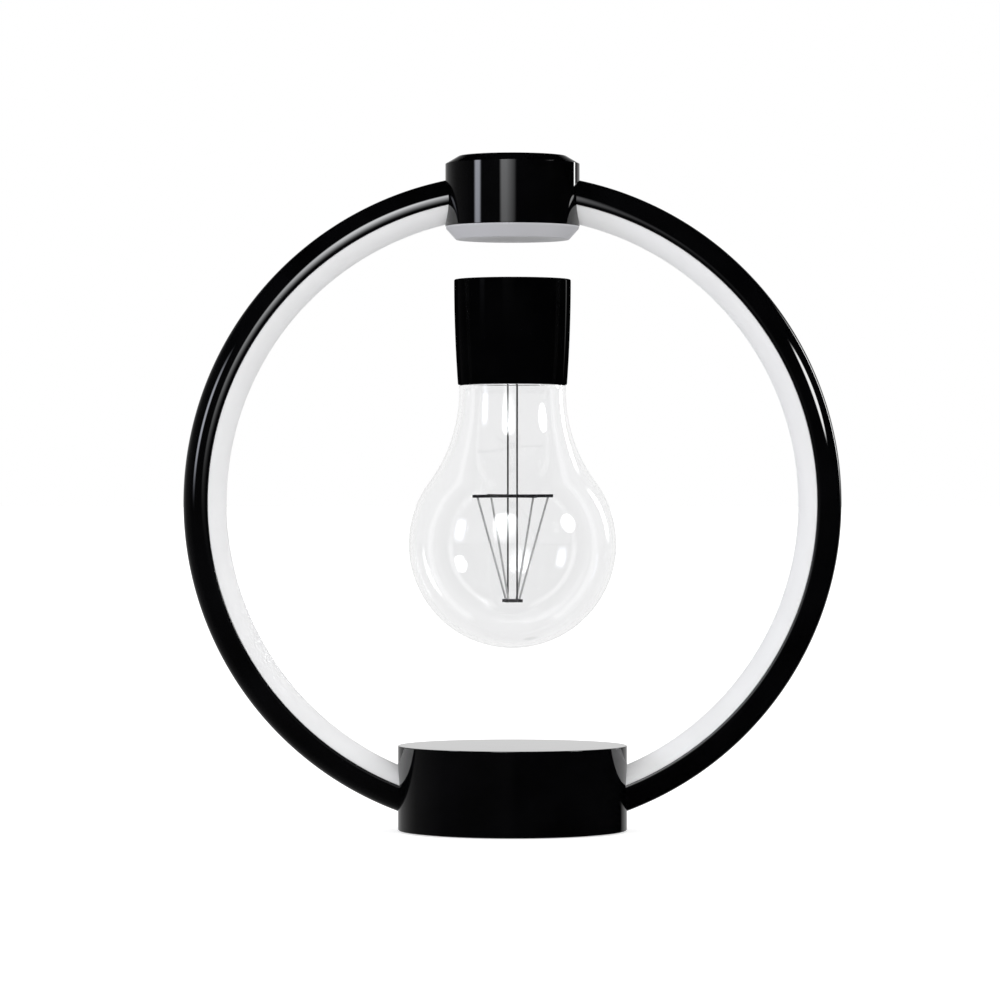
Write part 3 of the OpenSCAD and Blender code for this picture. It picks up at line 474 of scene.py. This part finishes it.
def softenLips(bm, width, u, v):
    # rounds the two long edges that lie u outwards from the tube's centre line and v to either side of it
    def onLip(vert):
        outwards = math.hypot(vert.co.x, vert.co.z - ringZ) - lamp["ringR"]
        return abs(outwards - u) < slack and abs(abs(vert.co.y) - v) < slack

    edges = [e for e in bm.edges if e.is_manifold and all(onLip(vert) for vert in e.verts)
             and abs(e.verts[0].co.y - e.verts[1].co.y) < weld]
    bevelEdges(bm, edges, width, segments=3)


def makeChannel(side, start, end):
    s = ringChannel
    half = math.acos(-s["split"] / lamp["tubeR"])
    slot, groove, floor = s["slotW"] / 2, s["groove"] / 2, s["slotFloor"]
    deep = floor + s["groove"]
    bm = bmesh.new()
    tubeProfile(bm, ((-s["split"], slot), (floor, slot), (floor, groove), (deep, groove), (deep, -groove),
                     (floor, -groove), (floor, -slot), (-s["split"], -slot)), -half, half, s["round"])
    sweepRing(bm, start, end, s["steps"])
    softenLips(bm, s["lip"], -s["split"], lamp["tubeR"] * math.sin(half))
    finishPiece(meshObject(bm, side + "_ring_channel"), "lamp_frame", "black_gloss", side + "_channel")


def makeDiffuser(side, start, end):
    s = ringDiffuser
    half = math.acos(-s["split"] / lamp["tubeR"])
    outer, inner, tip = s["tongueY"], s["tongueY"] - s["tongueT"], s["tongueL"] - s["split"]
    bm = bmesh.new()
    tubeProfile(bm, ((-s["split"], -outer), (tip, -outer), (tip, -inner), (-s["split"], -inner),
                     (-s["split"], inner), (tip, inner), (tip, outer), (-s["split"], outer)),
                half, math.tau - half, s["round"])
    sweepRing(bm, start, end, s["steps"])
    softenLips(bm, s["lip"], -s["split"], lamp["tubeR"] * math.sin(half))
    finishPiece(meshObject(bm, side + "_ring_diffuser"), "lamp_frame", "white_diffuser", side + "_diffuser")


# hub
hubShell = {"height": 20.2, "wall": 1.8, "topWall": 2.0, "chamferW": 3.7, "chamferH": 2.2, "innerW": 2.5,
            "innerH": 1.5, "edge": 0.06, "lowEdge": 0.15, "steps": 192}
hubCover = {"height": 3.8, "chamfer": 3.05, "chamferH": 3.4, "floor": 1.8, "wall": 0.6, "lipR": 17.5,
            "lipT": 1.2, "lipH": 1.2, "edge": 0.14, "topEdge": 0.12, "armRoom": 1.3, "steps": 192}


def makeHub():
    s = hubShell
    rOut, rIn, top = lamp["hubR"], lamp["hubR"] - s["wall"], hubZ + s["height"]
    ceiling = top - s["topWall"]
    bm = bmesh.new()
    chainLine(bm, bm.verts.new((0.0, 0.0, top)), (
        (rOut - s["chamferW"], top), (rOut, top - s["chamferH"]), (rOut, hubZ), (rIn, hubZ),
        (rIn, ceiling - s["innerH"]), (rIn - s["innerW"], ceiling), (0.0, ceiling)))
    latheRound(bm, s["steps"])
    softenEdge(bm, rOut - s["chamferW"], top, s["edge"], segments=3)
    softenEdge(bm, rOut, top - s["chamferH"], s["edge"], segments=3)
    softenEdge(bm, rOut, hubZ, s["lowEdge"], segments=2)
    piece = meshObject(bm, "hub_shell")
    cutWith(piece, ringTool())
    finishPiece(piece, "lamp_frame", "black_gloss", "hub_housing")


def makeHubCover():
    s = hubCover
    rOut, rLow, low = lamp["hubR"], lamp["hubR"] - s["chamfer"], hubZ - s["height"]
    lipOut, lipIn, lipTop = s["lipR"], s["lipR"] - s["lipT"], hubZ + s["lipH"]
    bm = bmesh.new()
    chainLine(bm, bm.verts.new((0.0, 0.0, low)), (
        (rLow, low), (rOut, low + s["chamferH"]), (rOut, hubZ), (lipOut, hubZ), (lipOut, lipTop),
        (lipIn, lipTop), (lipIn, hubZ), (rLow - s["wall"], low + s["floor"]), (0.0, low + s["floor"])))
    latheRound(bm, s["steps"])
    softenEdge(bm, rLow, low, s["edge"], segments=3)
    softenEdge(bm, rOut, low + s["chamferH"], s["edge"], segments=3)
    softenEdge(bm, rOut, hubZ, s["topEdge"], segments=2)
    piece = meshObject(bm, "hub_white_cover")
    cutWith(piece, ringTool(s["armRoom"]))
    finishPiece(piece, "lamp_frame", "white_cover", "hub_cover")


# floating bulb
capShell = {"top": 16.85, "low": 15.75, "height": 30.4, "gap": 11.5, "bore": 14.0, "roof": 1.8, "edge": 0.4,
            "lowEdge": 0.3, "boreEdge": 0.15, "sideSteps": 14, "steps": 192}
glassShell = {"ball": 30.0, "length": 76.0, "neck": 15.4, "neckLen": 1.7, "wall": 1.2, "collarR": 13.9,
              "collarH": 6.0, "seat": 0.1, "edge": 0.3, "ballSteps": 64, "flareSteps": 26, "steps": 160,
              "smooth": 40.0}
capTop = hubZ - hubCover["height"] - capShell["gap"]
capLow = capTop - capShell["height"]


def makeCap():
    s = capShell
    drawIn = s["top"] - s["low"]
    barrel = (s["height"] ** 2 + drawIn ** 2) / (2 * drawIn)
    bm = bmesh.new()
    tip = chainLine(bm, bm.verts.new((0.0, 0.0, capTop)), ((s["top"], capTop),))
    tip = chainArc(bm, tip, (s["top"] - barrel, capTop), -math.degrees(math.asin(s["height"] / barrel)),
                   s["sideSteps"])
    chainLine(bm, tip, ((s["bore"], capLow), (s["bore"], capTop - s["roof"]), (0.0, capTop - s["roof"])))
    latheRound(bm, s["steps"])
    softenEdge(bm, s["top"], capTop, s["edge"], segments=4)
    softenEdge(bm, s["low"], capLow, s["lowEdge"], segments=3)
    softenEdge(bm, s["bore"], capLow, s["boreEdge"], segments=2)
    finishPiece(meshObject(bm, "bulb_cap_shell"), "bulb", "black_satin", "bulb_cap")


def makeGlass():
    s = glassShell
    bottom, shoulder, neckZ = capLow - s["length"], capLow - s["seat"], capLow - s["neckLen"]
    ball = (0.0, bottom + s["ball"])
    rise = neckZ - ball[1]
    flareR = (s["neck"] ** 2 + rise ** 2 - s["ball"] ** 2) / (2 * (s["ball"] - s["neck"]))
    flare = (s["neck"] + flareR, neckZ)   # from here the flare meets the ball smoothly
    meet = math.degrees(math.atan2(rise, flare[0]))
    neckIn, collarIn, collarTop = s["neck"] - s["wall"], s["collarR"] - s["wall"], shoulder + s["collarH"]
    bm = bmesh.new()
    # up the outer skin, round the neck and down the inner skin
    tip = chainArc(bm, bm.verts.new((0.0, 0.0, bottom)), ball, 90 + meet, s["ballSteps"])
    tip = chainArc(bm, tip, flare, -meet, s["flareSteps"])
    tip = chainLine(bm, tip, (
        (s["neck"], shoulder), (s["collarR"], shoulder), (s["collarR"], collarTop), (collarIn, collarTop),
        (collarIn, shoulder - s["wall"]), (neckIn, shoulder - s["wall"]), (neckIn, neckZ)))
    tip = chainArc(bm, tip, flare, meet, s["flareSteps"])
    chainArc(bm, tip, ball, -90 - meet, s["ballSteps"])
    latheRound(bm, s["steps"])
    softenEdge(bm, s["neck"], shoulder, s["edge"], segments=3)
    piece = meshObject(bm, "bulb_envelope")
    finishPiece(piece, "bulb", "clear_glass", "bulb_glass", smooth=s["smooth"])
    piece.visible_shadow = False   # light passes through to the wires and the floor


makeBase()
makeButton()
print("base made")
for side, start, end in (("left", 180 - highAngle, 180 + lowAngle), ("right", -lowAngle, highAngle)):
    makeChannel(side, start, end)
    makeDiffuser(side, start, end)
print("ring made")
makeHub()
makeHubCover()
print("hub made")
makeCap()
makeGlass()
print("bulb made")


# floor, room, light and camera
stage = {"half": 60.0, "albedo": 0.82, "lift": 0.60}
room = {   # places and levels from the camera's side at 0 to straight behind the lamp at 1
    "left": ((0.35, 0.02), (0.70, 0.09), (0.785, 0.15), (0.9285, 0.29), (0.97, 0.40), (1.0, 0.86)),
    "right": ((0.88, 0.0), (0.92, 0.30), (0.97, 0.45), (1.0, 0.86)),
    "glass": ((0.475, 0.02), (0.55, 0.22), (0.65, 0.34), (0.80, 0.52), (0.90, 0.90), (1.0, 1.0)),
    "seam": (-0.05, 0.05), "ceiling": (0.12, 0.5),       # X where left turns to right, Z where it goes dark
    "through": (-0.1, 0.25), "throughLevels": (0.02, 1.0),   # Y, and what shows through the glass
    "matte": (0.2, 0.9), "matteLevels": (0.93, 1.25),        # X, and the light on matte surfaces
}
softboxes = {   # azimuth from the camera, elevation and distance; power is the radiance in the middle
    "left_panel": {"at": (-62.0, 11.3, 1.25), "size": (0.34, 0.65), "power": 8.6, "tint": (0.86, 0.89, 1.0),
                   "square": 4, "core": 0.35, "rise": (0.0, 0.5), "fill": True},
    "front_panel": {"at": (-7.5, 16.0, 1.7), "size": (0.96, 1.22), "power": 16.5, "tint": (0.97, 0.98, 1.0),
                    "square": 4, "core": 0.66, "rise": (0.6, 0.98), "fill": False},
    "right_round": {"at": (68.0, 18.4, 1.35), "size": (0.45, 0.45), "power": 19.0, "tint": (1.0, 1.0, 1.0),
                    "square": 2, "core": 0.65, "rise": (0.0, 0.0), "fill": False},
    "rear_strip": {"at": (133.0, 13.5, 1.35), "size": (0.15, 0.74), "power": 8.5, "tint": (1.0, 1.0, 1.0),
                   "square": 4, "core": 0.4, "rise": (0.0, 0.0), "fill": False},
}   # fill: it also lights matte surfaces; the others only show in the gloss
middle = Vector((0.0, 0.0, 0.11))   # the softboxes face this point
eye = {"place": (-0.0036, -1.303, 0.0955), "lens": 162.5, "sensor": 36.0, "clip": (0.05, 60.0)}


def makeFloor():
    bm = bmesh.new()
    bmesh.ops.create_grid(bm, x_segments=2, y_segments=2, size=stage["half"] / mm)
    floor = meshObject(bm, "floor")
    material = bpy.data.materials.new("pale_floor")
    material.use_nodes = True
    tree = material.node_tree
    tree.nodes.clear()
    path = addNode(tree, "ShaderNodeLightPath")
    matte = addNode(tree, "ShaderNodeBsdfDiffuse", {"Color": grey(stage["albedo"])})
    lift = addNode(tree, "ShaderNodeEmission", {"Color": grey(1.0)})
    level = addNode(tree, "ShaderNodeMath", {1: stage["lift"]}, operation="MULTIPLY")
    both = addNode(tree, "ShaderNodeAddShader")
    plain = addNode(tree, "ShaderNodeEmission", {"Color": grey(1.0), "Strength": 1.0})
    seen = addNode(tree, "ShaderNodeMixShader")
    out = addNode(tree, "ShaderNodeOutputMaterial")
    tree.links.new(path.outputs["Is Camera Ray"], level.inputs[0])
    tree.links.new(level.outputs["Value"], lift.inputs["Strength"])
    tree.links.new(matte.outputs["BSDF"], both.inputs[0])
    tree.links.new(lift.outputs["Emission"], both.inputs[1])
    tree.links.new(path.outputs["Is Transmission Ray"], seen.inputs["Fac"])
    tree.links.new(both.outputs["Shader"], seen.inputs[1])
    tree.links.new(plain.outputs["Emission"], seen.inputs[2])
    tree.links.new(seen.outputs["Shader"], out.inputs["Surface"])
    floor.data.materials.append(material)
    floor.visible_glossy = False   # the dark front of the studio shows in the gloss instead


def clearUnderBulb():
    # the underside of the bulb mirrors the pale room, not the dark base
    for name, node in cadNodes.items():
        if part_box(name)[1].z / mm < baseShell["top"] + slack:
            node.visible_glossy = False
    bpy.data.objects["base_shell"].visible_glossy = False


def makeWorld():
    world = bpy.data.worlds.new("studio")
    bpy.context.scene.world = world
    world.use_nodes = True
    world.cycles.sampling_method = "NONE"
    tree = world.node_tree
    tree.nodes.clear()
    coords = addNode(tree, "ShaderNodeTexCoord")
    split = addNode(tree, "ShaderNodeSeparateXYZ")
    tree.links.new(coords.outputs["Generated"], split.inputs["Vector"])
    path = addNode(tree, "ShaderNodeLightPath")

    def along(axis, start, end):
        return spread(tree, split.outputs[axis], 0.0, 1.0, start, end)

    behind = along("Y", -1.0, 1.0)

    def levels(stops):
        return rampColour(tree, behind, [(place, (level,) * 3) for place, level in stops])

    def mixed(factor, a, b):
        node = addNode(tree, "ShaderNodeMix", data_type="RGBA")
        tree.links.new(factor, node.inputs["Factor"])
        for socket, value in ((node.inputs[6], a), (node.inputs[7], b)):
            if isinstance(value, tuple):
                socket.default_value = value
            else:
                tree.links.new(value, socket)
        return node.outputs[2]

    mirrored = mixed(along("X", *room["seam"]), levels(room["left"]), levels(room["right"]))
    mirrored = mixed(along("Z", *room["ceiling"]), mirrored, grey(0.0))   # nothing hangs overhead
    # only the glass mirrors without any blur
    mirrored = mixed(path.outputs["Is Singular Ray"], mirrored, levels(room["glass"]))
    through = mixed(along("Y", *room["through"]), *map(grey, room["throughLevels"]))
    ambient = mixed(along("X", *room["matte"]), *map(grey, room["matteLevels"]))
    colour = mixed(path.outputs["Is Glossy Ray"], ambient, mirrored)
    colour = mixed(path.outputs["Is Transmission Ray"], colour, through)
    colour = mixed(path.outputs["Is Camera Ray"], colour, grey(1.0))
    back = addNode(tree, "ShaderNodeBackground", {"Strength": 1.0})
    out = addNode(tree, "ShaderNodeOutputWorld")
    tree.links.new(colour, back.inputs["Color"])
    tree.links.new(back.outputs["Background"], out.inputs["Surface"])


def fadeRim(data, square, core, rise):
    # full in the middle, none at the rim; the level lines are round at 2 and nearly square at 4
    data.use_nodes = True
    tree = data.node_tree
    glow = next(n for n in tree.nodes if n.type == "EMISSION")
    place = addNode(tree, "ShaderNodeNewGeometry")
    centred = addNode(tree, "ShaderNodeVectorMath", {1: (2.0, 2.0, 0.0), 2: (-1.0, -1.0, 0.0)},
                      operation="MULTIPLY_ADD")   # -1 to 1 across the panel
    tree.links.new(place.outputs["Parametric"], centred.inputs[0])
    power = centred.outputs["Vector"]
    for _ in range(1 if square == 2 else 2):
        twice = addNode(tree, "ShaderNodeVectorMath", operation="MULTIPLY")
        tree.links.new(power, twice.inputs[0])
        tree.links.new(power, twice.inputs[1])
        power = twice.outputs["Vector"]
    total = addNode(tree, "ShaderNodeVectorMath", {1: (1.0, 1.0, 0.0)}, operation="DOT_PRODUCT")
    tree.links.new(power, total.inputs[0])
    reach = addNode(tree, "ShaderNodeMath", {1: 1.0 / square}, operation="POWER")
    tree.links.new(total.outputs["Value"], reach.inputs[0])
    fade = addNode(tree, "ShaderNodeMapRange", interpolation_type="SMOOTHSTEP", inputs={
        "From Min": core, "From Max": 1.0, "To Min": 1.0, "To Max": 0.0})
    tree.links.new(reach.outputs["Value"], fade.inputs["Value"])
    level = fade.outputs["Result"]
    sides = addNode(tree, "ShaderNodeSeparateXYZ")
    tree.links.new(place.outputs["Parametric"], sides.inputs["Vector"])
    # the light grows over this share of the panel's width and height
    for axis, start, span, curve in (("X", 1.0, -rise[0], "LINEAR"), ("Y", 0.0, rise[1], "SMOOTHSTEP")):
        if span == 0.0:
            continue
        grow = addNode(tree, "ShaderNodeMapRange", interpolation_type=curve, inputs={
            "From Min": start, "From Max": start + span, "To Min": 0.0, "To Max": 1.0})
        tree.links.new(sides.outputs[axis], grow.inputs["Value"])
        both = addNode(tree, "ShaderNodeMath", operation="MULTIPLY")
        tree.links.new(level, both.inputs[0])
        tree.links.new(grow.outputs["Result"], both.inputs[1])
        level = both.outputs["Value"]
    tree.links.new(level, glow.inputs["Strength"])


def makeLights():
    for name, box in softboxes.items():
        azimuth, elevation, distance = math.radians(box["at"][0]), math.radians(box["at"][1]), box["at"][2]
        flat = math.cos(elevation)
        out = Vector((math.sin(azimuth) * flat, -math.cos(azimuth) * flat, math.sin(elevation)))
        data = bpy.data.lights.new(name, "AREA")
        data.shape = "RECTANGLE"
        data.size, data.size_y = box["size"]
        data.energy = box["power"] * math.pi * data.size * data.size_y
        data.color = box["tint"]
        fadeRim(data, box["square"], box["core"], box["rise"])
        light = addObject(name, data)
        light.location = middle + out * distance
        light.rotation_euler = (-out).to_track_quat("-Z", "Y").to_euler()
        light.visible_camera = False
        light.visible_diffuse = box["fill"]


def makeCamera():
    data = bpy.data.cameras.new("eye")
    data.sensor_width = eye["sensor"]
    data.lens = eye["lens"]
    data.clip_start, data.clip_end = eye["clip"]
    camera = addObject("eye", data)
    camera.location = eye["place"]
    camera.rotation_euler = (math.pi / 2, 0.0, 0.0)
    bpy.context.scene.camera = camera


makeFloor()
clearUnderBulb()
makeWorld()
makeLights()
makeCamera()
bpy.context.scene.view_settings.view_transform = "Standard"
bpy.context.scene.cycles.caustics_reflective = False   # matte surfaces take no mirrored light
print("stage set")
